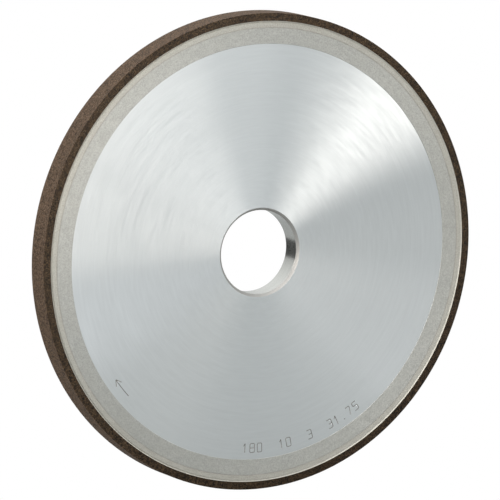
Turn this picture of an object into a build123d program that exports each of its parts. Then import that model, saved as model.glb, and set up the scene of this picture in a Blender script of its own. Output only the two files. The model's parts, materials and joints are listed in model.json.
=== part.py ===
from build123d import *
import math
import os

# A straight (1A1) resin-bond grinding wheel for a surface or tool grinder.
# A turned aluminium body carries a bonded ring of metal-filled resin, and
# that ring carries the layer of abrasive that does the grinding.
#
# Frame: millimetres, origin at the centre of the bore, the wheel spins about
# +Y and stands upright, +Z up. The marked side faces -Y.

# ---- driving dimensions ----
wheel_dia = 180.0         # over the abrasive
wheel_width = 10.0        # across the lapped rim
abrasive_depth = 3.0      # radial depth of the abrasive layer
backing_depth = 2.35      # radial depth of the metal-filled resin ring
glue_gap = 0.15           # thickness of the adhesive film, all round
land_width = 6.0          # lapped band of the body, next to the adhesive
face_relief = 0.1         # how far the turned faces lie below the lapped band
bore_dia = 31.75          # standard spindle bore
bore_chamfer = 1.0        # 45 degree lead-in at both ends of the bore
key_groove_count = 3      # grooves round the body that the adhesive keys into
key_groove_width = 1.2
key_groove_depth = 0.3
backing_bevel = 0.35      # broken outer edge of the metal-filled ring, radial
backing_bevel_drop = 0.12 # how deep that broken edge goes
dressed_edge = 0.15       # corner of the abrasive, broken by the first dressing

# ---- engraved marks, on the turned face at -Y ----
mark_depth = 0.1
mark_stroke = 0.38        # width of the engraving cutter
mark_inset = 4.3          # from the edge of the turned face to the mark line
digit_height = 3.4
digit_width = 1.9
digit_pitch = 3.1         # from one character to the next, along the mark line
size_mark_angle = 285.0   # middle of the size marking, degrees from +X to +Z
arrow_angle = 219.5       # middle of the rotation arrow
arrow_length = 8.4        # along the mark line
arrow_head = 2.6          # length of each barb of the head

# ---- sizes worked out from those ----
wheel_r = wheel_dia / 2
abrasive_inner_r = wheel_r - abrasive_depth
backing_inner_r = abrasive_inner_r - backing_depth
body_r = backing_inner_r - glue_gap
land_inner_r = body_r - land_width
bore_r = bore_dia / 2
half_rim = wheel_width / 2
half_body = half_rim - face_relief
mark_r = land_inner_r - mark_inset
key_groove_pitch = wheel_width / (key_groove_count + 1)
key_groove_y = [key_groove_pitch * (i + 1) - half_rim for i in range(key_groove_count)]

# The half section of every turned piece is drawn on XY, where X is the radius
# and Y runs along the spindle.
spin_axis = Axis.Y

# A drawing plane on the marked face, seen from outside: its own X is to the
# right and its own Y is up.
marked_face = Plane(origin=(0, -half_body, 0), x_dir=(1, 0, 0), z_dir=(0, -1, 0))

# Strokes of each character on a grid one wide and one high.
DIGITS = {
    "0": [[(0, 0), (1, 0), (1, 1), (0, 1), (0, 0)]],
    "1": [[(0.2, 0.75), (0.5, 1), (0.5, 0)]],
    "2": [[(0, 1), (1, 1), (1, 0.5), (0, 0.5), (0, 0), (1, 0)]],
    "3": [[(0, 1), (1, 1), (1, 0), (0, 0)], [(0.3, 0.5), (1, 0.5)]],
    "4": [[(0, 1), (0, 0.4), (1, 0.4)], [(0.75, 0.8), (0.75, 0)]],
    "5": [[(1, 1), (0, 1), (0, 0.55), (1, 0.55), (1, 0), (0, 0)]],
    "6": [[(1, 1), (0, 1), (0, 0), (1, 0), (1, 0.5), (0, 0.5)]],
    "7": [[(0, 1), (1, 1), (0.4, 0)]],
    "8": [[(0, 0), (1, 0), (1, 1), (0, 1), (0, 0)], [(0, 0.5), (1, 0.5)]],
    "9": [[(0, 0), (1, 0), (1, 1), (0, 1), (0, 0.5), (1, 0.5)]],
    ".": [[(0.35, 0.02), (0.65, 0.02)]],
    " ": [],
}


def on_mark_line(angle, along, up):
    """A point of a character whose middle is at angle on the mark line.

    The characters stand with their tops towards the bore.
    """
    theta = math.radians(angle)
    radius = mark_r - up
    x = radius * math.cos(theta) - along * math.sin(theta)
    y = radius * math.sin(theta) + along * math.cos(theta)
    return (x, y)


def character_strokes(text, middle):
    """Every stroke of a row of characters, as lists of points on the face."""
    step = math.degrees(digit_pitch / mark_r)
    first = middle - step * (len(text) - 1) / 2
    strokes = []
    for place, character in enumerate(text):
        angle = first + step * place
        for stroke in DIGITS[character]:
            points = []
            for across, high in stroke:
                along = (across - 0.5) * digit_width
                up = (high - 0.5) * digit_height
                points.append(on_mark_line(angle, along, up))
            strokes.append(points)
    return strokes


def turned_side(side, radii_and_drops):
    """Points along one face of a turned piece: side is -1 or +1."""
    return [(r, side * (half_rim - drop)) for r, drop in radii_and_drops]


def keyed_line(depth):
    """Points down a cylinder whose wall has square grooves, from +Y to -Y."""
    points = []
    for y in reversed(key_groove_y):
        top = y + key_groove_width / 2
        bottom = y - key_groove_width / 2
        points += [(body_r, top), (depth, top), (depth, bottom), (body_r, bottom)]
    return points


# ---- aluminium body ----
with BuildPart() as body:
    with BuildSketch(Plane.XY):
        with BuildLine():
            front = turned_side(-1, [
                (land_inner_r - face_relief, face_relief),
                (land_inner_r, 0),
                (body_r, 0),
            ])
            back = turned_side(+1, [
                (body_r, 0),
                (land_inner_r, 0),
                (land_inner_r - face_relief, face_relief),
            ])
            Polyline(
                (bore_r, half_body),
                (bore_r, -half_body),
                *front,
                *reversed(keyed_line(body_r - key_groove_depth)),
                *back,
                close=True,
            )
        make_face()
    revolve(axis=spin_axis)
    bore_rims = body.edges().filter_by(GeomType.CIRCLE).group_by(SortBy.RADIUS)[0]
    chamfer(bore_rims, length=bore_chamfer)

    sizes = (wheel_dia, wheel_width, abrasive_depth, bore_dia)
    size_mark = "  ".join(f"{size:g}" for size in sizes)
    with BuildSketch(marked_face):
        for stroke in character_strokes(size_mark, size_mark_angle):
            with BuildLine():
                Polyline(*stroke)
            trace(line_width=mark_stroke)
    extrude(amount=-mark_depth, mode=Mode.SUBTRACT)

    # The wheel turns clockwise when the marked side is towards you.
    half_sweep = math.degrees(arrow_length / mark_r) / 2
    arrow_tip = on_mark_line(arrow_angle - half_sweep, 0, 0)
    with BuildSketch(marked_face):
        with BuildLine():
            CenterArc((0, 0), mark_r, arrow_angle - half_sweep, 2 * half_sweep)
        trace(line_width=mark_stroke)
        for flare in (-30, 30):
            barb = math.radians(arrow_angle - half_sweep + 90 + flare)
            with BuildLine():
                Line(
                    arrow_tip,
                    (
                        arrow_tip[0] + arrow_head * math.cos(barb),
                        arrow_tip[1] + arrow_head * math.sin(barb),
                    ),
                )
            trace(line_width=mark_stroke)
    extrude(amount=-mark_depth, mode=Mode.SUBTRACT)

# ---- adhesive film, with the keys that fill the body's grooves ----
with BuildPart() as adhesive_film:
    with BuildSketch(Plane.XY):
        with BuildLine():
            Polyline(
                (backing_inner_r, -half_rim),
                (backing_inner_r, half_rim),
                (body_r, half_rim),
                *keyed_line(body_r - key_groove_depth),
                (body_r, -half_rim),
                close=True,
            )
        make_face()
    revolve(axis=spin_axis)

# ---- metal-filled resin ring between the body and the abrasive ----
with BuildPart() as backing_ring:
    with BuildSketch(Plane.XY):
        with BuildLine():
            edge = [
                (backing_inner_r, 0),
                (abrasive_inner_r - backing_bevel, 0),
                (abrasive_inner_r, backing_bevel_drop),
            ]
            Polyline(
                *turned_side(-1, edge),
                *reversed(turned_side(+1, edge)),
                close=True,
            )
        make_face()
    revolve(axis=spin_axis)

# ---- abrasive layer ----
with BuildPart() as abrasive_rim:
    with BuildSketch(Plane.XY):
        with Locations(((abrasive_inner_r + wheel_r) / 2, 0)):
            Rectangle(abrasive_depth, wheel_width)
    revolve(axis=spin_axis)
    outer_corners = abrasive_rim.edges().filter_by(GeomType.CIRCLE).group_by(SortBy.RADIUS)[-1]
    chamfer(outer_corners, length=dressed_edge)

# ---- one named solid each ----
os.makedirs("parts", exist_ok=True)

body.part.label = "body"
export_step(body.part, "parts/body.step")

adhesive_film.part.label = "adhesive_film"
export_step(adhesive_film.part, "parts/adhesive_film.step")

backing_ring.part.label = "backing_ring"
export_step(backing_ring.part, "parts/backing_ring.step")

abrasive_rim.part.label = "abrasive_rim"
export_step(abrasive_rim.part, "parts/abrasive_rim.step")
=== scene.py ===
import json
import math

import bpy
from mathutils import Matrix, Vector


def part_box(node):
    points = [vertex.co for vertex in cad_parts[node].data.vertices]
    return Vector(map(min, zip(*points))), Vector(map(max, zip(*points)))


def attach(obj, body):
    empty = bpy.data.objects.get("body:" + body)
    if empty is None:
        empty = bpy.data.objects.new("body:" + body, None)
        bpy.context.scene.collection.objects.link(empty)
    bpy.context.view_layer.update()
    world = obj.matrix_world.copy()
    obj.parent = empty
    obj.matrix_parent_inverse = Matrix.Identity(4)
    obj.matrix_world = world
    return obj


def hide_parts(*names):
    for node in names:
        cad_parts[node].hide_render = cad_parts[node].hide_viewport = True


# The looks of a straight resin-bond grinding wheel: a turned aluminium body, the
# adhesive film, the metal-filled backing ring and the abrasive rim, in metres.
# The wheel spins about +Y and stands upright; its marked side faces -Y.

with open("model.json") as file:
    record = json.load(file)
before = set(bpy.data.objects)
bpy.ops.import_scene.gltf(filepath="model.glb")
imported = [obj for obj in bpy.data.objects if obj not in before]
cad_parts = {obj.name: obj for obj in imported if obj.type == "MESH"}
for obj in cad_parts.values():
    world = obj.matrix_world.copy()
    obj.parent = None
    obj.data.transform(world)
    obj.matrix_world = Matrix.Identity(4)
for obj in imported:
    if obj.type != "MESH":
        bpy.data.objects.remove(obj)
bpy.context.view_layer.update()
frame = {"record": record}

MM = 0.001

# ---- sizes, worked out from the frame ----


def box_radius(node):
    """Outer radius of a turned piece, from its box."""
    low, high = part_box(node)
    return (high.z - low.z) / 2


def as_drawn(length, step=0.05 * MM):
    """A length to the nearest twentieth of a millimetre."""
    return round(length / step) * step


mounts = {mount["name"]: mount for mount in frame["record"]["mounts"]}
WHEEL_R = as_drawn(box_radius("abrasive_rim"))
ABRASIVE_INNER_R = as_drawn(box_radius("backing_ring"))
BACKING_INNER_R = as_drawn(box_radius("adhesive_film"))
BODY_R = as_drawn(box_radius("body"))
HALF_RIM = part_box("abrasive_rim")[1].y
HALF_BODY = -mounts["front_seat"]["pos_m"][1]
BORE_R = mounts["bore"]["dims"]["r_mm"] * MM
BORE_CHAMFER = HALF_BODY - mounts["bore"]["dims"]["length_mm"] * MM / 2

# ---- sizes of the finish ----
LAND_WIDTH = 6.0 * MM            # lapped band of the body
EDGE_BREAK = 0.06 * MM           # burr taken off every turned corner
STEP_SLOPE = 0.02 * MM           # the step up to the band is nearly square
GROOVE_WIDTH = 0.55 * MM         # groove where the backing meets the abrasive
GROOVE_DEPTH = 0.30 * MM
GROOVE_WALL = 0.08 * MM          # width of its steeper, inner side
DRESSED_EDGE = 0.08 * MM         # corner of the abrasive, rounded by dressing
GRAIN_STAND = 0.03 * MM          # how far the grains stand out of the bond
FILM_SINK = 0.03 * MM            # the adhesive shrinks a little as it cures
FILM_EDGE = 0.03 * MM            # rounding of the film's own edges
TURNS = 480                      # flats round every turned piece
EDGE_STEPS = 3                   # flats across every rounded corner
NOSE_FLATS = 10                  # flats round the nose of the engraving cutter
BEND_FLATS = 4                   # flats round each bend of a stroke
SWEEP_R = 50.0 * MM              # circle the half sections are swept along

# ---- colours and finish ----
TURNED_DARK = (0.558, 0.588, 0.600)
TURNED_LIGHT = (0.588, 0.619, 0.631)
ARC_TONE = (0.49, 0.517, 0.53)   # short arcs where the tool chattered
ARC_SHARE = 0.28
TURNED_ROUGHNESS = 0.32
ROUGHER_INWARD = 0.03            # the cut is coarser towards the bore
ROUGHER_WITHIN = 0.6             # from this share of the wheel's radius
ARC_ROUGHNESS = 0.03
TURNED_STRETCH = 0.93
TURNED_LEAN = 7.0                # degrees that the tool marks lean outwards
REAMED_STRETCH = 0.5
LAPPED_STRETCH = 0.6
LAPPED_LEAN = 1.0
SIDE_LEAN = 26.0                 # the same for the coarse rings on the abrasive's sides
REAMED_TONE = (0.56, 0.56, 0.535)
CHAMFER_TONE = (0.33, 0.327, 0.317)
REAMED_ROUGHNESS = 0.23
CHAMFER_ROUGHNESS = 0.45
LAPPED_DARK = (0.285, 0.292, 0.276)
LAPPED_LIGHT = (0.540, 0.544, 0.522)
LAPPED_WARM = (0.44, 0.432, 0.39)
LAPPED_ROUGHNESS = 0.5
REAMED_VARIES = 0.03             # either way from the mean roughness
LAPPED_VARIES = 0.06
FILLED_DARK = (0.29, 0.285, 0.255)
FILLED_LIGHT = (0.52, 0.515, 0.475)
FILLED_ROUGHNESS = 0.52
GROOVE_ROUGHNESS = 0.42          # burnished by the turning tool
SMEAR_AND_SHADE_TONE = (0.27, 0.265, 0.24)  # resin smeared beside the joint by the lapping; also the painted shade in the corner of the step
SMEAR_WIDTH = 0.55 * MM
JOINT_SMEAR = 0.4
STEP_SHADE_WIDTH = 0.12 * MM     # painted shade in the corner at the foot of the step up to the band
STEP_SHADE = 0.75
# the engraved floor's dark tones are partly painted shade in the recess of the strokes
MARK_DARK = (0.10, 0.10, 0.10)
MARK_LIGHT = (0.22, 0.22, 0.21)
EPOXY_DARK = (0.17, 0.165, 0.15)
EPOXY_LIGHT = (0.30, 0.29, 0.27)
# dark bond, light bond, and the grains ground flush with it; the sides' tones are much darker than
# the periphery's, as painted shade on the sides and painted light on the periphery
SHADED_SIDE_BOND = ((0.001, 0.0007, 0.0004), (0.030, 0.019, 0.0105), (0.14, 0.097, 0.058))
LIT_RIM_BOND = ((0.015, 0.009, 0.005), (0.11, 0.071, 0.046), (0.26, 0.185, 0.13))
RIM_GRAINS_PER_M2 = 1.5e6
SIDE_GRAINS_PER_M2 = 1.1e6
GRAIN_SMALL = 0.05 * MM
GRAIN_LARGE = 0.11 * MM
SIDE_GRAIN_SHADE = 0.4            # painted shade: the grains on the sides are a darker copy of those on the periphery
RIM_SEED = 11
SIDE_SEED = 23
SPECK_TONE = (0.2, 0.18, 0.15)
GRAIN_TINTS = ((0.0, (0.03, 0.023, 0.016)), (0.45, (0.10, 0.073, 0.05)),
               (0.8, (0.2, 0.155, 0.11)), (1.0, (0.36, 0.31, 0.24)))

# ---- texture of the finishes ----
# rings, in cells per metre across them and cells per radian round the wheel
FEED_RINGS = (5200, 1.2)         # one for each turn of the lathe
BROAD_RINGS = (300, 1.5)
CHATTER_ARCS = (900, 6)
REAMER_RINGS = (4200, 1.5)
LAP_SMEARS = (900, 20)
DRESSING_RINGS = (1800, 6)
# grain, in cells per metre
LAPPED_GRAIN = 2500
LAPPED_CLOUDS = 160
FILLED_GRAIN = 2000
FILLED_SPECKS = 5200
MARK_CHATTER = 6000
EPOXY_CLOUDS = 900
BOND_GRAINS = 5200
BOND_PORES = 3300
BOND_PATCHES = 1300
GRAIN_COLOURS = 2600
GRAIN_FACETS = 5000
# how deep each stands in relief
FEED_RELIEF = 0.0002 * MM
REAMER_RELIEF = 0.001 * MM
LAPPED_RELIEF = 0.006 * MM
FILLED_RELIEF = 0.008 * MM
SMEAR_RELIEF = 0.004 * MM
DULL_RELIEF = 0.01 * MM          # of the marks and the epoxy
BOND_GRAIN_RELIEF = 0.02 * MM
BOND_PATCH_RELIEF = 0.03 * MM
DRESSING_RELIEF = 0.012 * MM
# how much of the darker or lighter tone shows, as a noise value rises
SPECKS_SHOW = ((0.0, 0.35), (0.16, 0.35), (0.2, 0.0), (1.0, 0.0))
GRAINS_SHOW = ((0.0, 0.0), (0.7, 0.0), (0.78, 0.6), (1.0, 0.6))
PORES_SHOW = ((0.0, 0.8), (0.18, 0.6), (0.3, 0.0), (1.0, 0.0))

# ---- camera, floor and light ----
CAMERA_TURN = -28.127            # degrees round from straight in front
CAMERA_RISE = 9.03
CAMERA_ROLL = 0.683
CAMERA_DISTANCE = 2.332
CAMERA_LENS = 448.8
CAMERA_SENSOR = 36.0
CAMERA_CLIP = (0.1, 60.0)
CAMERA_ASIDE = (-1.38 * MM, 0.21 * MM)
FLOOR_SIZE = 30.0
FLOOR_COLOUR = (0.402, 0.412, 0.414)
SURROUND_COLOUR = (0.98, 1.0, 1.0)
SURROUND_LOW = 0.62              # how bright the room is at the horizon
SURROUND_RISE = 1.1              # and how much brighter it is overhead
SOFTBOX_COLOUR = (1.0, 0.93, 0.865)
# name, turn and rise in degrees, distance and size in metres, watts
SOFTBOXES = (
    ("left_softbox_low", -34.0, 3.0, 0.55, 0.25, 1.12),
    ("left_softbox", -20.0, 24.0, 0.55, 0.25, 0.74),
    ("left_softbox_high", -5.0, 40.0, 0.55, 0.25, 0.66),
    ("right_softbox", 25.0, 42.0, 0.55, 0.25, 0.22),
    ("right_strip", 52.0, 10.0, 0.55, 0.13, 0.19),
    ("right_strip_inner", 41.0, 8.0, 0.55, 0.13, 0.09),
    ("right_softbox_low", 62.0, -4.0, 0.55, 0.09, 0.035),
    ("left_strip", -60.0, 18.0, 0.55, 0.13, 0.2),
)
# Cards round the wheel, out of sight, for its bright metal to mirror. A standing
# card has its turn, distance, width and top; a card on the floor has the turns
# and distances it spans.
DARK_CARD = (206.0, 0.25, 0.12, 0.014)
FRONT_CARD = ((-38.0, 8.0), (0.16, 0.5))
RIGHT_CARD = ((54.0, 74.0), (0.12, 0.45))
DARK_CARD_GLOW = 0.02
FRONT_CARD_GLOW = 1.2
RIGHT_CARD_GLOW = 0.95
CARD_LIFT = 0.5 * MM

# ---- engraved marks ----
MARK_DEPTH = 0.1 * MM
MARK_STROKE = 0.38 * MM
MARK_INSET = 4.3 * MM
DIGIT_HEIGHT = 3.4 * MM
DIGIT_WIDTH = 1.9 * MM
DIGIT_PITCH = 3.1 * MM
DIGIT_CORNER = 0.45 * MM         # the cutter rounds the corners of a figure
SIZE_MARK_ANGLE = 285.0          # degrees from +X to +Z
ARROW_ANGLE = 219.5
ARROW_LENGTH = 8.4 * MM
ARROW_HEAD = 2.6 * MM
ARROW_FLARE = 30.0               # degrees each barb stands off the line
ARROW_STEPS = 16

# Strokes of each figure on a grid one wide and one high.
FIGURES = {
    "0": [[(0, 0), (1, 0), (1, 1), (0, 1), (0, 0)]],
    "1": [[(0.5, 1), (0.5, 0)], [(0.15, 0.72), (0.5, 1)]],
    "3": [[(0, 1), (1, 1), (1, 0), (0, 0)], [(0.3, 0.5), (1, 0.5)]],
    "5": [[(1, 1), (0, 1), (0, 0.55), (1, 0.55), (1, 0), (0, 0)]],
    "7": [[(0, 1), (1, 1), (0.4, 0)]],
    "8": [[(0, 0), (1, 0), (1, 1), (0, 1), (0, 0)], [(0, 0.5), (1, 0.5)]],
    ".": [[(0.35, 0.02), (0.65, 0.02)]],
    " ": [],
}


# ---- geometry node trees ----


class Tree:
    """A geometry node tree that makes one kind of piece from named sizes."""

    def __init__(self, name):
        self.group = bpy.data.node_groups.new(name, "GeometryNodeTree")
        interface = self.group.interface
        interface.new_socket("Geometry", in_out="INPUT", socket_type="NodeSocketGeometry")
        interface.new_socket("Geometry", in_out="OUTPUT", socket_type="NodeSocketGeometry")
        self.given = self.group.nodes.new("NodeGroupInput")
        self.result = self.group.nodes.new("NodeGroupOutput")
        self.settings = {}

    @property
    def geometry(self):
        return self.given.outputs[0]

    def size(self, name, value, kind="NodeSocketFloat"):
        """A named input of the tree, with the value this piece gives it."""
        made = self.group.interface.new_socket(name, in_out="INPUT", socket_type=kind)
        self.settings[made.identifier] = value
        return next(s for s in self.given.outputs if s.identifier == made.identifier)

    def link(self, value, socket):
        if isinstance(value, bpy.types.NodeSocket):
            self.group.links.new(value, socket)
        else:
            socket.default_value = value

    def node(self, kind, inputs=None, out=0, **settings):
        """A node with its settings and inputs; returns one of its outputs."""
        node = self.group.nodes.new(kind)
        for name, value in settings.items():
            setattr(node, name, value)
        for key, value in (inputs or {}).items():
            self.link(value, node.inputs[key])
        return node.outputs[out]

    def math(self, operation, first, second=0.0):
        return self.node("ShaderNodeMath", {0: first, 1: second}, operation=operation)

    def vector(self, operation, first, second=(0, 0, 0), out=0):
        return self.node("ShaderNodeVectorMath", {0: first, 1: second}, out, operation=operation)

    def random(self, low, high, seed):
        """A random number for each point."""
        return self.node("FunctionNodeRandomValue", {2: low, 3: high, 8: seed}, out=1)

    def plus(self, first, second):
        return self.math("ADD", first, second)

    def minus(self, first, second):
        return self.math("SUBTRACT", first, second)

    def point(self, x, y):
        return self.node("ShaderNodeCombineXYZ", {"X": x, "Y": y})

    def index_choice(self, choices, data_type):
        """The choice whose place in the list is the point's own index."""
        node = self.group.nodes.new("GeometryNodeIndexSwitch")
        node.data_type = data_type
        while len(node.index_switch_items) < len(choices):
            node.index_switch_items.new()
        self.link(self.node("GeometryNodeInputIndex"), node.inputs["Index"])
        for socket, choice in zip(node.inputs[1:], choices):
            self.link(choice, socket)
        return node.outputs[0]

    def finish(self, geometry):
        """Real faces, with nothing left as an instance."""
        self.link(self.node("GeometryNodeRealizeInstances", {0: geometry}), self.result.inputs[0])


def lathe(tree, side, rounding, turns):
    """Turns a half section, alike on both sides, round the wheel's axis.

    side is its corners on the unmarked side, as (radius, distance from the middle).
    """
    marked_side = [(r, tree.math("MULTIPLY", y, -1.0)) for r, y in side]
    corners = marked_side + list(reversed(side))
    points = [tree.point(tree.minus(r, SWEEP_R), y) for r, y in corners]
    line = tree.node("GeometryNodeMeshLine", {"Count": len(corners)})
    section = tree.node("GeometryNodeSetPosition", {
        "Geometry": line,
        "Position": tree.index_choice(points, "VECTOR"),
    })
    section = tree.node("GeometryNodeMeshToCurve", {"Mesh": section})
    section = tree.node("GeometryNodeSetSplineCyclic", {"Geometry": section, "Cyclic": True})
    section = tree.node("GeometryNodeFilletCurve", {
        "Curve": section,
        "Count": EDGE_STEPS,
        "Radius": rounding,
        "Limit Radius": True,
    }, mode="POLY")
    circle = tree.node("GeometryNodeCurvePrimitiveCircle", {"Resolution": turns, "Radius": SWEEP_R})
    swept = tree.node("GeometryNodeCurveToMesh", {"Curve": circle, "Profile Curve": section})
    upright = tree.node("GeometryNodeTransform", {
        "Geometry": swept,
        "Rotation": (math.radians(90), 0, 0),
    })
    return tree.node("GeometryNodeSetShadeSmooth", {"Geometry": upright})


def radius_field(tree):
    """Distance of a face from the wheel's axis."""
    place = tree.node("GeometryNodeInputPosition")
    return tree.vector("LENGTH", tree.vector("MULTIPLY", place, (1, 0, 1)), out="Value")


def plain_piece(name, tree, base=None, then=()):
    """The piece that a tree makes, as a plain mesh with no modifiers left.

    base is the mesh the tree starts from, and then adds modifiers after it.
    """
    mesh = base or bpy.data.meshes.new(name + "_start")
    start = bpy.data.objects.new(name + "_start", mesh)
    bpy.context.scene.collection.objects.link(start)
    nodes = start.modifiers.new("tree", "NODES")
    nodes.node_group = tree.group
    for identifier, value in tree.settings.items():
        nodes[identifier] = value
    for kind, settings in then:
        modifier = start.modifiers.new(kind.lower(), kind)
        for key, value in settings.items():
            setattr(modifier, key, value)
    shown = start.evaluated_get(bpy.context.evaluated_depsgraph_get())
    made = bpy.data.meshes.new_from_object(shown, preserve_all_data_layers=True,
                                           depsgraph=bpy.context.evaluated_depsgraph_get())
    made.name = name
    bpy.data.objects.remove(start)
    piece = bpy.data.objects.new(name, made)
    bpy.context.scene.collection.objects.link(piece)
    return piece


# ---- finishes ----


class Finish:
    """A material built from nodes on one Principled shader.

    Scales of noise and cells are in cells per metre.
    """

    def __init__(self, name, **plain):
        self.material = bpy.data.materials.new(name)
        self.material.use_nodes = True
        self.tree = self.material.node_tree
        self.tree.nodes.clear()
        self.shader = self.tree.nodes.new("ShaderNodeBsdfPrincipled")
        output = self.tree.nodes.new("ShaderNodeOutputMaterial")
        self.tree.links.new(self.shader.outputs[0], output.inputs["Surface"])
        for socket, value in plain.items():
            self.shader.inputs[socket.replace("_", " ")].default_value = value
        self.place = self.node("ShaderNodeTexCoord", out="Object")
        self.normal = None

    def link(self, value, socket):
        if isinstance(value, bpy.types.NodeSocket):
            self.tree.links.new(value, socket)
        else:
            socket.default_value = value

    def node(self, kind, inputs=None, out=0, **settings):
        node = self.tree.nodes.new(kind)
        for name, value in settings.items():
            setattr(node, name, value)
        for key, value in (inputs or {}).items():
            self.link(value, node.inputs[key])
        return node.outputs[out]

    def math(self, operation, first, second=0.0):
        return self.node("ShaderNodeMath", {0: first, 1: second}, operation=operation)

    def vector(self, operation, first, second=(0, 0, 0), out=0):
        return self.node("ShaderNodeVectorMath", {0: first, 1: second}, out, operation=operation)

    def radius(self):
        return self.vector("LENGTH", self.vector("MULTIPLY", self.place, (1, 0, 1)), out="Value")

    def ring_place(self, per_metre, per_radian):
        """Coordinates that run in rings, on the flat faces and along the axis alike."""
        flat = self.vector("MULTIPLY", self.place, (1, 0, 1))
        direction = self.vector("NORMALIZE", flat)
        turn = self.vector("SCALE", direction)
        turn.node.inputs["Scale"].default_value = per_radian
        parts = self.tree.nodes.new("ShaderNodeSeparateXYZ")
        self.link(self.place, parts.inputs[0])
        height = self.math("MULTIPLY", parts.outputs["Y"], per_metre)
        rings = self.math("ADD", self.math("MULTIPLY", self.radius(), per_metre), height)
        lifted = self.node("ShaderNodeCombineXYZ", {"Y": rings})
        return self.vector("ADD", turn, lifted)

    def noise(self, place, scale, detail=3.0, roughness=0.5):
        return self.node("ShaderNodeTexNoise", {
            "Vector": place, "Scale": scale, "Detail": detail, "Roughness": roughness,
        })

    def rings(self, pattern, detail=3.0):
        """Noise drawn out into rings; pattern is its cells per metre and per radian."""
        return self.noise(self.ring_place(*pattern), 1.0, detail)

    def cells(self, place, scale, out="Color"):
        return self.node("ShaderNodeTexVoronoi", {"Vector": place, "Scale": scale}, out)

    def ramp(self, value, stops):
        """A colour ramp; stops are (place, colour or grey)."""
        node = self.tree.nodes.new("ShaderNodeValToRGB")
        points = node.color_ramp.elements
        while len(points) < len(stops):
            points.new(0.5)
        for point, (at, colour) in zip(points, stops):
            point.position = at
            grey = isinstance(colour, (int, float))
            point.color = (colour, colour, colour, 1) if grey else (*colour, 1)
        self.link(value, node.inputs[0])
        return node.outputs[0]

    def spread(self, value, low, high):
        """A number from low to high as value goes from 0.3 to 0.7, where noise lies."""
        return self.node("ShaderNodeMapRange", {
            "Value": value, "From Min": 0.3, "From Max": 0.7, "To Min": low, "To Max": high,
        })

    def mix(self, factor, first, second, blend="MIX"):
        node = self.tree.nodes.new("ShaderNodeMix")
        node.data_type = "RGBA"
        node.blend_type = blend
        for key, value in ((0, factor), (6, first), (7, second)):
            self.link((*value, 1) if isinstance(value, tuple) else value, node.inputs[key])
        return node.outputs[2]

    def beside(self, ring, width, most):
        """From 0 beyond a width from a ring, given by its radius, to most at it."""
        away = self.math("ABSOLUTE", self.math("SUBTRACT", self.radius(), ring))
        return self.node("ShaderNodeMapRange", {
            "Value": away, "From Min": width, "From Max": 0.0, "To Min": 0.0, "To Max": most,
        }, interpolation_type="SMOOTHSTEP")

    def smeared(self, tone):
        """The tone, darkened beside the adhesive line."""
        return self.mix(self.beside(BODY_R, SMEAR_WIDTH, JOINT_SMEAR), tone, SMEAR_AND_SHADE_TONE)

    def bump(self, *layers):
        """Height layers, each (height, depth in metres)."""
        for height, depth in layers:
            inputs = {"Height": height, "Strength": 1.0, "Distance": depth}
            if self.normal is not None:
                inputs["Normal"] = self.normal
            self.normal = self.node("ShaderNodeBump", inputs)
        self.link(self.normal, self.shader.inputs["Normal"])

    def colour(self, value):
        self.link(value, self.shader.inputs["Base Color"])

    def roughness(self, value):
        self.link(value, self.shader.inputs["Roughness"])

    def in_world(self, vector):
        return self.node("ShaderNodeVectorTransform", {"Vector": vector},
                         vector_type="VECTOR", convert_from="OBJECT", convert_to="WORLD")

    def turned_grain(self, lean=0.0, where=1.0):
        """Lays the stretched highlight across the rings that the lathe tool left.

        lean is how far the flanks of the rings lean outwards, in degrees, and
        where is 1 on the faces that have them.
        """
        round_it = self.in_world(self.vector("CROSS_PRODUCT", self.place, (0, 1, 0)))
        normal = self.node("ShaderNodeNewGeometry", out="Normal")
        across = self.vector("NORMALIZE", self.vector("CROSS_PRODUCT", round_it, normal))
        self.link(across, self.shader.inputs["Tangent"])
        if lean:
            outward = self.vector("NORMALIZE", self.vector("MULTIPLY", self.place, (1, 0, 1)))
            tilt = self.vector("SCALE", self.in_world(outward))
            slope = self.math("MULTIPLY", where, math.tan(math.radians(lean)))
            self.link(slope, tilt.node.inputs["Scale"])
            self.normal = self.vector("NORMALIZE", self.vector("ADD", normal, tilt))


def turned_aluminium():
    """Fine turned rings and faint arcs, bright, with the fan of light that they make."""
    finish = Finish("turned_face", Metallic=1.0, Anisotropic=TURNED_STRETCH)
    fine = finish.rings(FEED_RINGS, 2.0)
    broad = finish.rings(BROAD_RINGS)
    arcs = finish.rings(CHATTER_ARCS, 2.0)
    tone = finish.mix(finish.spread(fine, 0.0, 1.0), TURNED_DARK, TURNED_LIGHT)
    tone = finish.mix(finish.spread(broad, 0.0, 0.3), tone, TURNED_LIGHT)
    finish.colour(finish.mix(finish.spread(arcs, 0.0, ARC_SHARE), tone, ARC_TONE))
    rough = finish.math("ADD", finish.spread(fine, -0.01, 0.01),
                        finish.spread(broad, -0.005, 0.005))
    rough = finish.math("ADD", rough, finish.spread(arcs, -ARC_ROUGHNESS, ARC_ROUGHNESS))
    inward = finish.node("ShaderNodeMapRange", {
        "Value": finish.radius(), "From Min": BORE_R, "From Max": ROUGHER_WITHIN * WHEEL_R,
        "To Min": TURNED_ROUGHNESS + ROUGHER_INWARD, "To Max": TURNED_ROUGHNESS,
    })
    finish.roughness(finish.math("ADD", rough, inward))
    finish.turned_grain(TURNED_LEAN)
    finish.bump((fine, FEED_RELIEF))
    return finish.material


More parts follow.
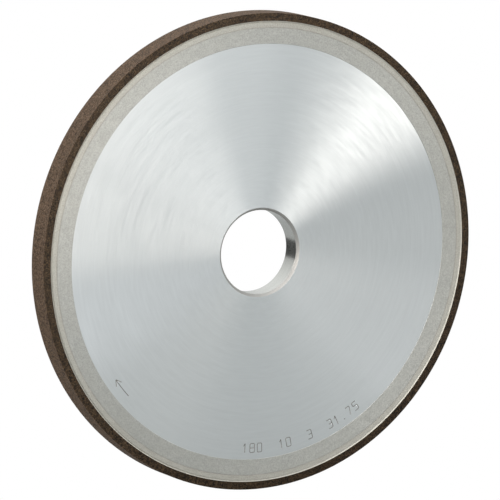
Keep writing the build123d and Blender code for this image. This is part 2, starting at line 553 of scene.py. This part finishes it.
def reamed_bore():
    """The bore wall and its chamfers: closer to a polish, with faint tool rings."""
    finish = Finish("reamed_bore", Metallic=1.0, Anisotropic=REAMED_STRETCH)
    rings = finish.rings(REAMER_RINGS)
    chamfer = finish.math("GREATER_THAN", finish.radius(), BORE_R + EDGE_BREAK)
    dark = tuple(0.9 * c for c in REAMED_TONE)
    tone = finish.mix(finish.spread(rings, 0.0, 1.0), dark, REAMED_TONE)
    finish.colour(finish.mix(chamfer, tone, CHAMFER_TONE))
    rough = finish.spread(rings, REAMED_ROUGHNESS - REAMED_VARIES,
                          REAMED_ROUGHNESS + REAMED_VARIES)
    rougher = finish.math("MULTIPLY", chamfer, CHAMFER_ROUGHNESS - REAMED_ROUGHNESS)
    finish.roughness(finish.math("ADD", rough, rougher))
    finish.turned_grain()
    finish.bump((rings, REAMER_RELIEF))
    return finish.material


def lapped_aluminium():
    """The flat band at the rim: matte, grainy and a little warm."""
    finish = Finish("lapped_band", Metallic=1.0, Anisotropic=LAPPED_STRETCH)
    grain = finish.noise(finish.place, LAPPED_GRAIN, 4.0, 0.7)
    smear = finish.rings(LAP_SMEARS)
    cloud = finish.noise(finish.place, LAPPED_CLOUDS, 3.0)
    tone = finish.mix(finish.spread(grain, 0.0, 1.0), LAPPED_DARK, LAPPED_LIGHT)
    tone = finish.mix(finish.spread(smear, 0.0, 0.3), tone, LAPPED_DARK)
    tone = finish.mix(finish.spread(cloud, 0.0, 0.15), tone, LAPPED_WARM)
    # painted shade: the tone darkens into the corner at the foot of the step
    step_shade = finish.beside(BODY_R - LAND_WIDTH, STEP_SHADE_WIDTH, STEP_SHADE)
    tone = finish.mix(step_shade, tone, SMEAR_AND_SHADE_TONE)
    finish.colour(finish.smeared(tone))
    finish.roughness(finish.spread(grain, LAPPED_ROUGHNESS - LAPPED_VARIES,
                                   LAPPED_ROUGHNESS + LAPPED_VARIES))
    finish.turned_grain(LAPPED_LEAN)
    finish.bump((grain, LAPPED_RELIEF), (smear, SMEAR_RELIEF))
    return finish.material


def engraved_mark():
    """Floor of the engraved figures, dull from the cutter, and darkened as painted shade in the
    recess.
    """
    finish = Finish("engraved_mark", Metallic=0.6)
    chatter = finish.noise(finish.place, MARK_CHATTER, 2.0)
    finish.colour(finish.mix(finish.spread(chatter, 0.0, 1.0), MARK_DARK, MARK_LIGHT))
    finish.roughness(finish.spread(chatter, 0.5, 0.65))
    finish.bump((chatter, DULL_RELIEF))
    return finish.material


def cured_epoxy():
    """The thin film of adhesive, grey-brown and dull."""
    finish = Finish("cured_epoxy")
    cloud = finish.noise(finish.place, EPOXY_CLOUDS, 3.0)
    finish.colour(finish.mix(finish.spread(cloud, 0.0, 1.0), EPOXY_DARK, EPOXY_LIGHT))
    finish.roughness(finish.spread(cloud, 0.5, 0.7))
    finish.bump((cloud, DULL_RELIEF))
    return finish.material


def metal_filled_resin():
    """Aluminium powder in resin: duller and yellower than the metal, with dark specks."""
    finish = Finish("filled_resin_ring", Metallic=0.85, Anisotropic=LAPPED_STRETCH)
    grain = finish.noise(finish.place, FILLED_GRAIN, 4.0, 0.7)
    smear = finish.rings(LAP_SMEARS)
    specks = finish.cells(finish.place, FILLED_SPECKS)
    tone = finish.mix(finish.spread(grain, 0.0, 1.0), FILLED_DARK, FILLED_LIGHT)
    tone = finish.mix(finish.spread(smear, 0.0, 0.35), tone, FILLED_DARK)
    tone = finish.mix(finish.ramp(specks, SPECKS_SHOW), tone, SPECK_TONE)
    finish.colour(finish.smeared(tone))
    groove = finish.math("GREATER_THAN", finish.radius(), ABRASIVE_INNER_R - GROOVE_WIDTH)
    rough = finish.spread(grain, FILLED_ROUGHNESS - LAPPED_VARIES,
                          FILLED_ROUGHNESS + LAPPED_VARIES)
    smoother = finish.math("MULTIPLY", groove, FILLED_ROUGHNESS - GROOVE_ROUGHNESS)
    finish.roughness(finish.math("SUBTRACT", rough, smoother))
    finish.turned_grain(LAPPED_LEAN)
    finish.bump((grain, FILLED_RELIEF), (smear, SMEAR_RELIEF))
    return finish.material


def bonded_abrasive():
    """Resin bond packed with grains: pitted and dull; its lighter tones on the periphery and darker
    ones on the sides are painted light and shade.
    """
    finish = Finish("resin_bond", Specular_IOR_Level=0.13)
    grains = finish.cells(finish.place, BOND_GRAINS)
    pores = finish.cells(finish.place, BOND_PORES, "Distance")
    patch = finish.noise(finish.place, BOND_PATCHES, 3.0, 0.6)
    rings = finish.rings(DRESSING_RINGS, 4.0)
    dressed = finish.math("GREATER_THAN", finish.radius(), WHEEL_R - DRESSED_EDGE)
    # painted light and shade: the periphery takes the lit tones and the sides the shaded ones
    dark, light, flush = (finish.mix(dressed, a, b) for a, b in zip(SHADED_SIDE_BOND, LIT_RIM_BOND))
    tone = finish.mix(finish.spread(patch, -1.2, 2.2), dark, light)
    tone = finish.mix(finish.spread(rings, 0.0, 0.35), tone, light)
    tone = finish.mix(finish.ramp(grains, GRAINS_SHOW), tone, flush)
    finish.colour(finish.mix(finish.ramp(pores, PORES_SHOW), tone, SHADED_SIDE_BOND[0]))
    finish.roughness(finish.spread(patch, 0.62, 0.85))
    finish.turned_grain(SIDE_LEAN, finish.math("SUBTRACT", 1.0, dressed))
    finish.bump((grains, BOND_GRAIN_RELIEF), (patch, BOND_PATCH_RELIEF),
                (rings, DRESSING_RELIEF))
    return finish.material


def abrasive_grain(name, fade):
    """The grains that stand out of the bond: from amber to near black, with bright facets."""
    finish = Finish(name)
    tint = finish.cells(finish.place, GRAIN_COLOURS)
    # fade darkens a copy of the grains, for the painted shade on the sides
    tints = [(at, tuple(fade * c for c in tone)) for at, tone in GRAIN_TINTS]
    finish.colour(finish.ramp(tint, tints))
    finish.roughness(finish.spread(finish.noise(finish.place, GRAIN_FACETS), 0.3, 0.55))
    return finish.material


# ---- the pieces ----


def body_tree(turned, lapped, reamed):
    """The aluminium body: chamfered bore, sunk turned faces and the lapped band."""
    tree = Tree("turned_body")
    bore = tree.size("Bore radius", BORE_R)
    chamfer = tree.size("Bore chamfer", BORE_CHAMFER)
    outer = tree.size("Body radius", BODY_R)
    land = tree.size("Band width", LAND_WIDTH)
    rim = tree.size("Half width at the band", HALF_RIM)
    face = tree.size("Half width at the bore", HALF_BODY)
    edge = tree.size("Edge break", EDGE_BREAK)
    turns = tree.size("Turns", TURNS, "NodeSocketInt")
    step_top = tree.minus(outer, land)
    step_foot = tree.minus(step_top, STEP_SLOPE)
    mouth = tree.plus(bore, chamfer)
    wall = tree.minus(face, chamfer)
    side = [(bore, wall), (mouth, face), (step_foot, face), (step_top, rim), (outer, rim)]
    swept = lathe(tree, side, edge, turns)
    swept = tree.node("GeometryNodeSetMaterial", {"Geometry": swept, "Material": turned})
    beyond = tree.node("FunctionNodeCompare", {0: radius_field(tree), 1: step_foot},
                       operation="GREATER_THAN")
    within = tree.node("FunctionNodeCompare", {0: radius_field(tree), 1: mouth},
                       operation="LESS_THAN")
    for where, material in ((beyond, lapped), (within, reamed)):
        swept = tree.node("GeometryNodeSetMaterial",
                          {"Geometry": swept, "Selection": where, "Material": material})
    tree.finish(swept)
    return tree


def ring_tree(name, material, inner, outer, half_width, edge, groove=None):
    """A turned ring. groove is the (width, depth, wall) of a groove at its outer edge."""
    tree = Tree(name)
    inner = tree.size("Inner radius", inner)
    outer = tree.size("Outer radius", outer)
    half = tree.size("Half width", half_width)
    edge = tree.size("Edge rounding", edge)
    turns = tree.size("Turns", TURNS, "NodeSocketInt")
    side = [(inner, half), (outer, half)]
    if groove:
        width = tree.size("Groove width", groove[0])
        depth = tree.size("Groove depth", groove[1])
        wall = tree.size("Groove wall", groove[2])
        foot = tree.minus(outer, width)
        side = [(inner, half), (tree.minus(foot, wall), half), (foot, tree.minus(half, depth)),
                (outer, half)]
    swept = lathe(tree, side, edge, turns)
    tree.finish(tree.node("GeometryNodeSetMaterial", {"Geometry": swept, "Material": material}))
    return tree


def cutter_tree(material):
    """A round-nosed cutter run along every stroke of the marks."""
    tree = Tree("engraving_cutter")
    radius = tree.size("Cutter radius", MARK_STROKE / 2)
    corner = tree.size("Corner radius", DIGIT_CORNER)
    path = tree.node("GeometryNodeMeshToCurve", {"Mesh": tree.geometry})
    path = tree.node("GeometryNodeFilletCurve", {
        "Curve": path, "Count": BEND_FLATS, "Radius": corner, "Limit Radius": True,
    }, mode="POLY")
    nose = tree.node("GeometryNodeCurvePrimitiveCircle",
                     {"Resolution": NOSE_FLATS, "Radius": radius})
    cut = tree.node("GeometryNodeCurveToMesh",
                    {"Curve": path, "Profile Curve": nose, "Fill Caps": True})
    tree.finish(tree.node("GeometryNodeSetMaterial", {"Geometry": cut, "Material": material}))
    return tree


def grain_tree(material, first_seed, on_periphery, per_square_metre):
    """Grains set in the bond, all dressed to one height."""
    tree = Tree("grains_in_the_bond")
    density = tree.size("Grains per square metre", per_square_metre)
    small = tree.size("Smallest grain radius", GRAIN_SMALL)
    large = tree.size("Largest grain radius", GRAIN_LARGE)
    stand = tree.size("Height over the bond", GRAIN_STAND)
    edge = tree.size("Radius of the dressed corner", WHEEL_R - DRESSED_EDGE)
    seed = tree.size("Seed", first_seed, "NodeSocketInt")
    where = tree.node("FunctionNodeCompare", {0: radius_field(tree), 1: edge},
                      operation="GREATER_THAN" if on_periphery else "LESS_THAN")
    spots = tree.group.nodes.new("GeometryNodeDistributePointsOnFaces")
    for key, value in (("Mesh", tree.geometry), ("Selection", where),
                       ("Density", density), ("Seed", seed)):
        tree.link(value, spots.inputs[key])
    size = tree.random(small, large, tree.math("ADD", seed, 1.0))
    turn = [tree.random(0.0, 2 * math.pi, tree.math("ADD", seed, 2.0 + i)) for i in range(3)]
    euler = tree.node("ShaderNodeCombineXYZ", dict(zip("XYZ", turn)))
    grain = tree.node("GeometryNodeMeshIcoSphere", {"Radius": 1.0, "Subdivisions": 1})
    sink = tree.node("ShaderNodeVectorMath", {0: spots.outputs["Normal"]}, operation="SCALE")
    tree.link(tree.minus(stand, size), sink.node.inputs["Scale"])
    sunk = tree.node("GeometryNodeSetPosition",
                     {"Geometry": spots.outputs["Points"], "Offset": sink})
    placed = tree.node("GeometryNodeInstanceOnPoints", {
        "Points": sunk, "Instance": grain, "Scale": size,
        "Rotation": tree.node("FunctionNodeEulerToRotation", {0: euler}),
    })
    real = tree.node("GeometryNodeRealizeInstances", {0: placed})
    tree.finish(tree.node("GeometryNodeSetMaterial", {"Geometry": real, "Material": material}))
    return tree


def on_mark_line(angle, along, up):
    """A point of a mark. The figures stand with their tops towards the bore."""
    theta = math.radians(angle)
    radius = BODY_R - LAND_WIDTH - MARK_INSET - up
    x = radius * math.cos(theta) - along * math.sin(theta)
    z = radius * math.sin(theta) + along * math.cos(theta)
    return (x, -HALF_BODY - (MARK_STROKE / 2 - MARK_DEPTH), z)


def figure_strokes(text, middle):
    """Every stroke of a row of figures, as lists of points."""
    step = math.degrees(DIGIT_PITCH / (BODY_R - LAND_WIDTH - MARK_INSET))
    first = middle - step * (len(text) - 1) / 2
    for place, figure in enumerate(text):
        for stroke in FIGURES[figure]:
            yield [
                on_mark_line(first + step * place, (across - 0.5) * DIGIT_WIDTH,
                             (high - 0.5) * DIGIT_HEIGHT)
                for across, high in stroke
            ]


def arrow_strokes():
    """The arrow that shows which way the wheel turns."""
    half_turn = math.degrees(ARROW_LENGTH / 2 / (BODY_R - LAND_WIDTH - MARK_INSET))
    sweep = [half_turn * (2 * i / ARROW_STEPS - 1) for i in range(ARROW_STEPS + 1)]
    yield [on_mark_line(ARROW_ANGLE + turn, 0, 0) for turn in sweep]
    flare = math.radians(ARROW_FLARE)
    for side in (-1, 1):
        yield [
            on_mark_line(ARROW_ANGLE + sweep[0], 0, 0),
            on_mark_line(ARROW_ANGLE + sweep[0], ARROW_HEAD * math.cos(flare),
                         side * ARROW_HEAD * math.sin(flare)),
        ]


def stroke_mesh():
    """The strokes of all the marks, as bare edges."""
    sizes = (2 * WHEEL_R, 2 * HALF_RIM, WHEEL_R - ABRASIVE_INNER_R, 2 * BORE_R)
    text = "  ".join(f"{round(size / MM, 2):g}" for size in sizes)
    points, edges = [], []
    for stroke in [*figure_strokes(text, SIZE_MARK_ANGLE), *arrow_strokes()]:
        closed = stroke[0] == stroke[-1]
        stroke = stroke[:-1] if closed else stroke
        start = len(points)
        points += stroke
        edges += [(start + i, start + i + 1) for i in range(len(stroke) - 1)]
        if closed:
            edges.append((len(points) - 1, start))
    mesh = bpy.data.meshes.new("mark_strokes")
    mesh.from_pydata(points, edges, [])
    return mesh


def show_as(piece, node):
    """The piece is shown in place of a CAD node, which is hidden, and turns with the wheel."""
    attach(piece, "root")
    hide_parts(node)


def make_wheel():
    """Every piece of the wheel, each attached to the wheel's root, with the CAD nodes that they
    replace hidden.
    """
    flat_corners = ("WEIGHTED_NORMAL", {"mode": "FACE_AREA", "keep_sharp": False})
    cutter = plain_piece("engraving_cutter", cutter_tree(engraved_mark()), stroke_mesh())
    engraved = ("BOOLEAN", {
        "operation": "DIFFERENCE", "solver": "EXACT", "use_self": True,
        "object": cutter, "material_mode": "TRANSFER",
    })
    finishes = (turned_aluminium(), lapped_aluminium(), reamed_bore())
    body = plain_piece("body_turned", body_tree(*finishes), then=(engraved, flat_corners))
    bpy.data.objects.remove(cutter)
    show_as(body, "body")

    film = plain_piece("adhesive_line", ring_tree(
        "adhesive_ring", cured_epoxy(), BODY_R, BACKING_INNER_R, HALF_RIM - FILM_SINK,
        FILM_EDGE), then=(flat_corners,))
    show_as(film, "adhesive_film")

    backing = plain_piece("backing_ring_lapped", ring_tree(
        "backing_ring", metal_filled_resin(), BACKING_INNER_R, ABRASIVE_INNER_R, HALF_RIM,
        EDGE_BREAK / 2, (GROOVE_WIDTH, GROOVE_DEPTH, GROOVE_WALL)), then=(flat_corners,))
    show_as(backing, "backing_ring")

    bond = plain_piece("abrasive_bond", ring_tree(
        "abrasive_ring", bonded_abrasive(),
        ABRASIVE_INNER_R, WHEEL_R - GRAIN_STAND, HALF_RIM - GRAIN_STAND, DRESSED_EDGE),
        then=(flat_corners,))
    show_as(bond, "abrasive_rim")

    # the grains on the sides get a darker copy of the grain material, as painted shade
    for name, seed, on_periphery, fade, density in (
            ("grains_on_the_rim", RIM_SEED, True, 1.0, RIM_GRAINS_PER_M2),
            ("grains_on_the_sides", SIDE_SEED, False, SIDE_GRAIN_SHADE, SIDE_GRAINS_PER_M2)):
        tree = grain_tree(abrasive_grain(name, fade), seed, on_periphery, density)
        grains = plain_piece(name, tree, bond.data.copy())
        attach(grains, "root")


# ---- the studio ----


def make_camera():
    """Looks at the marked side from the left and a little above, from far away."""
    back = toward(CAMERA_TURN, CAMERA_RISE)
    level = toward(CAMERA_TURN + 90, 0)
    roll = math.radians(CAMERA_ROLL)
    above = back.cross(level)
    right = level * math.cos(roll) + above * math.sin(roll)
    up = above * math.cos(roll) - level * math.sin(roll)
    camera = bpy.data.objects.new("camera", bpy.data.cameras.new("camera"))
    camera.data.sensor_width = CAMERA_SENSOR
    camera.data.lens = CAMERA_LENS
    camera.data.clip_start, camera.data.clip_end = CAMERA_CLIP
    aim = right * CAMERA_ASIDE[0] + up * CAMERA_ASIDE[1]
    facing = Matrix((right, up, back)).transposed()
    camera.matrix_world = Matrix.Translation(aim + back * CAMERA_DISTANCE) @ facing.to_4x4()
    bpy.context.scene.collection.objects.link(camera)
    bpy.context.scene.camera = camera


def empty_tree(owner):
    """The nodes and links of a material or a world, with nothing in them yet."""
    owner.use_nodes = True
    owner.node_tree.nodes.clear()
    return owner.node_tree.nodes, owner.node_tree.links


def four_corners(name, corners, material):
    """A flat sheet in the scene, from its corners in order."""
    mesh = bpy.data.meshes.new(name)
    mesh.from_pydata(corners, [], [(0, 1, 2, 3)])
    mesh.materials.append(material)
    sheet = bpy.data.objects.new(name, mesh)
    bpy.context.scene.collection.objects.link(sheet)
    return sheet


def make_floor():
    """Pale and matte as the wheel sees it; to look at, as white as the room."""
    material = bpy.data.materials.new("pale_floor")
    nodes, links = empty_tree(material)
    output, mix = nodes.new("ShaderNodeOutputMaterial"), nodes.new("ShaderNodeMixShader")
    matte, white = nodes.new("ShaderNodeBsdfDiffuse"), nodes.new("ShaderNodeEmission")
    matte.inputs["Color"].default_value = (*FLOOR_COLOUR, 1)
    links.new(nodes.new("ShaderNodeLightPath").outputs["Is Camera Ray"], mix.inputs[0])
    links.new(matte.outputs[0], mix.inputs[1])
    links.new(white.outputs[0], mix.inputs[2])
    links.new(mix.outputs[0], output.inputs["Surface"])
    half = FLOOR_SIZE / 2
    corners = [(x * half, y * half, -WHEEL_R) for x, y in ((-1, -1), (1, -1), (1, 1), (-1, 1))]
    four_corners("floor", corners, material)


def make_surroundings():
    """White to look at; as light, a grey room that is brighter overhead."""
    world = bpy.data.worlds.new("studio")
    bpy.context.scene.world = world
    nodes, links = empty_tree(world)
    output, mix = nodes.new("ShaderNodeOutputWorld"), nodes.new("ShaderNodeMixShader")
    room, white = nodes.new("ShaderNodeBackground"), nodes.new("ShaderNodeBackground")
    height, brightness = nodes.new("ShaderNodeSeparateXYZ"), nodes.new("ShaderNodeMapRange")
    brightness.inputs["To Min"].default_value = SURROUND_LOW
    brightness.inputs["To Max"].default_value = SURROUND_LOW + SURROUND_RISE
    room.inputs["Color"].default_value = (*SURROUND_COLOUR, 1)
    white.inputs["Color"].default_value = (1, 1, 1, 1)
    links.new(nodes.new("ShaderNodeTexCoord").outputs["Generated"], height.inputs[0])
    links.new(height.outputs["Z"], brightness.inputs["Value"])
    links.new(brightness.outputs[0], room.inputs["Strength"])
    links.new(nodes.new("ShaderNodeLightPath").outputs["Is Camera Ray"], mix.inputs[0])
    links.new(room.outputs[0], mix.inputs[1])
    links.new(white.outputs[0], mix.inputs[2])
    links.new(mix.outputs[0], output.inputs["Surface"])


def toward(turn, rise):
    """The direction that is turn degrees round from straight in front, and rise up."""
    turn, rise = math.radians(turn), math.radians(rise)
    level = math.cos(rise)
    return Vector((math.sin(turn) * level, -math.cos(turn) * level, math.sin(rise)))


def make_card(name, corners, glow):
    """A card of an even brightness, seen only where bright metal mirrors it."""
    material = bpy.data.materials.new(name)
    nodes, links = empty_tree(material)
    output, even = nodes.new("ShaderNodeOutputMaterial"), nodes.new("ShaderNodeEmission")
    even.inputs["Strength"].default_value = glow
    links.new(even.outputs[0], output.inputs["Surface"])
    card = four_corners(name, corners, material)
    for kind in ("camera", "diffuse", "shadow"):
        setattr(card, "visible_" + kind, False)


def standing_card(turn, distance, width, top):
    """Corners of a card that stands on the floor, square to the wheel's middle."""
    ends = [toward(turn, 0) * distance + toward(turn + 90, 0) * half
            for half in (-width / 2, width / 2)]
    places = ((ends[0], -WHEEL_R), (ends[1], -WHEEL_R), (ends[1], top), (ends[0], top))
    return [(end.x, end.y, height) for end, height in places]


def lying_card(turns, distances):
    """Corners of a card that lies on the floor, between two turns and two distances."""
    first, last = turns
    near, far = distances
    places = ((first, near), (last, near), (last, far), (first, far))
    spots = [toward(turn, 0) * distance for turn, distance in places]
    return [(spot.x, spot.y, -WHEEL_R + CARD_LIFT) for spot in spots]


def make_cards():
    """A dark card stands behind; two pale ones lie on the floor."""
    make_card("dark_card", standing_card(*DARK_CARD), DARK_CARD_GLOW)
    make_card("front_card", lying_card(*FRONT_CARD), FRONT_CARD_GLOW)
    make_card("right_card", lying_card(*RIGHT_CARD), RIGHT_CARD_GLOW)


def soft_light(name, turn, rise, distance, size, watts):
    """A square softbox that faces the wheel from a direction, in degrees."""
    light = bpy.data.objects.new(name, bpy.data.lights.new(name, "AREA"))
    light.data.size = size
    light.data.energy = watts
    light.data.color = SOFTBOX_COLOUR
    light.location = toward(turn, rise) * distance
    light.rotation_mode = "QUATERNION"
    light.rotation_quaternion = toward(turn, rise).to_track_quat("Z", "Y")
    bpy.context.scene.collection.objects.link(light)


make_wheel()
make_floor()
make_surroundings()
make_cards()
for softbox in SOFTBOXES:
    soft_light(*softbox)
make_camera()
bpy.context.scene.view_settings.view_transform = "Standard"
